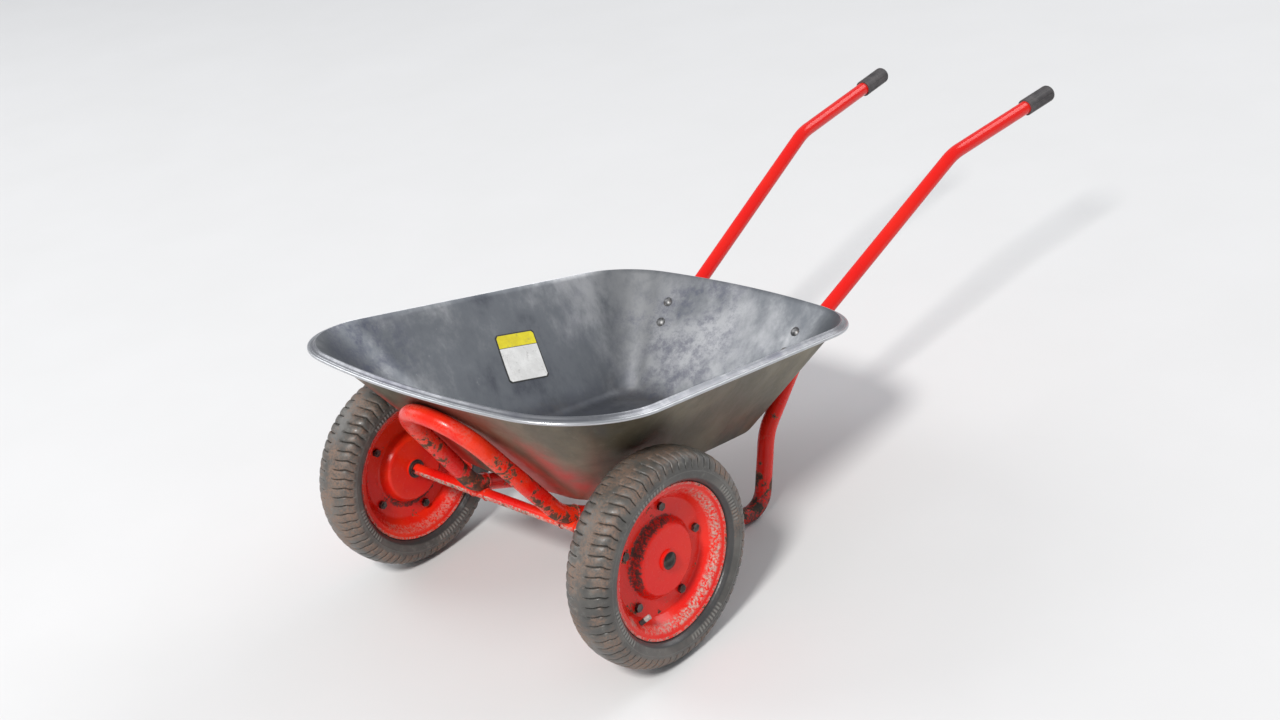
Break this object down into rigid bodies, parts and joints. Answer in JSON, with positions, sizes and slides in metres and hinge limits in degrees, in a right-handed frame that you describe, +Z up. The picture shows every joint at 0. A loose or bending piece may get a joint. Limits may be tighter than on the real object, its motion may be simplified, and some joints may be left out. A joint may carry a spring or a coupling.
{
  "type": "two-wheel wheelbarrow",
  "caption": "Worn two-wheel garden wheelbarrow: a galvanised tray on a red bent-tube frame, standing on its wheels and bent-tube feet.",
  "frame": {"origin": "on the ground, under the middle of the whole barrow", "axes": "+X to the side that is on the right when pushing it, +Y back towards the handles, +Z up"},
  "size_m": [0.7272, 1.5822, 0.5098],
  "materials": {
    "galvanised_sheet": "worn galvanised sheet, scratched, with grey and brown stains",
    "label": "plain sticker in two blank colours, dirty",
    "hoop_paint": "glossy red paint with rust and grey dirt on its lower side",
    "tube_paint": "glossy red paint with small rust chips",
    "handle_paint": "clean glossy red paint",
    "axle_paint": "red paint with a brown rust strip underneath",
    "rim_paint": "red paint, chipped and scuffed with grey dirt",
    "fastener": "dark weathered steel",
    "dark_cap": "dark oily steel",
    "bush": "black nylon",
    "grip": "grey ribbed rubber, dusty",
    "tyre": "grey worn rubber with brown dust",
    "inner_tube": "black rubber",
    "valve_cap": "pale plastic"
  },
  "bodies": {
    "frame": {"tray": "galvanised_sheet", "label": "label", "front_hoop": "hoop_paint", "side_tube_left": "tube_paint", "side_tube_right": "tube_paint", "handle_left": "handle_paint", "handle_right": "handle_paint", "axle": "axle_paint", "axle_pins": "fastener", "axle_washers": "fastener", "axle_cap_left": "dark_cap", "axle_cap_right": "dark_cap", "tray_bracket_left": "tube_paint", "tray_bracket_right": "tube_paint", "tray_bolts": "fastener", "tray_washers": "fastener", "tray_nuts": "fastener", "floor_bracket_left": "tube_paint", "floor_bracket_right": "tube_paint", "floor_bolts": "fastener", "floor_washers": "fastener", "floor_nuts": "fastener", "grip_left": "grip", "grip_right": "grip"},
    "wheel_left": {"left_tyre": "tyre", "left_inner_tube": "inner_tube", "left_valve_cap": "valve_cap", "left_rim_outer": "rim_paint", "left_rim_inner": "rim_paint", "left_rim_bolts": "fastener", "left_rim_nuts": "fastener", "left_hub_tube": "rim_paint", "left_outer_bush": "bush", "left_inner_bush": "bush"},
    "wheel_right": {"right_tyre": "tyre", "right_inner_tube": "inner_tube", "right_valve_cap": "valve_cap", "right_rim_outer": "rim_paint", "right_rim_inner": "rim_paint", "right_rim_bolts": "fastener", "right_rim_nuts": "fastener", "right_hub_tube": "rim_paint", "right_outer_bush": "bush", "right_inner_bush": "bush"}
  },
  "joints": [
    {"name": "left_wheel_spin", "type": "hinge", "parent": "frame", "child": "wheel_left", "pos_m": [-0.306, -0.5966, 0.18], "axis": [1, 0, 0], "continuous": true},
    {"name": "right_wheel_spin", "type": "hinge", "parent": "frame", "child": "wheel_right", "pos_m": [0.306, -0.5966, 0.18], "axis": [1, 0, 0], "continuous": true}
  ]
}
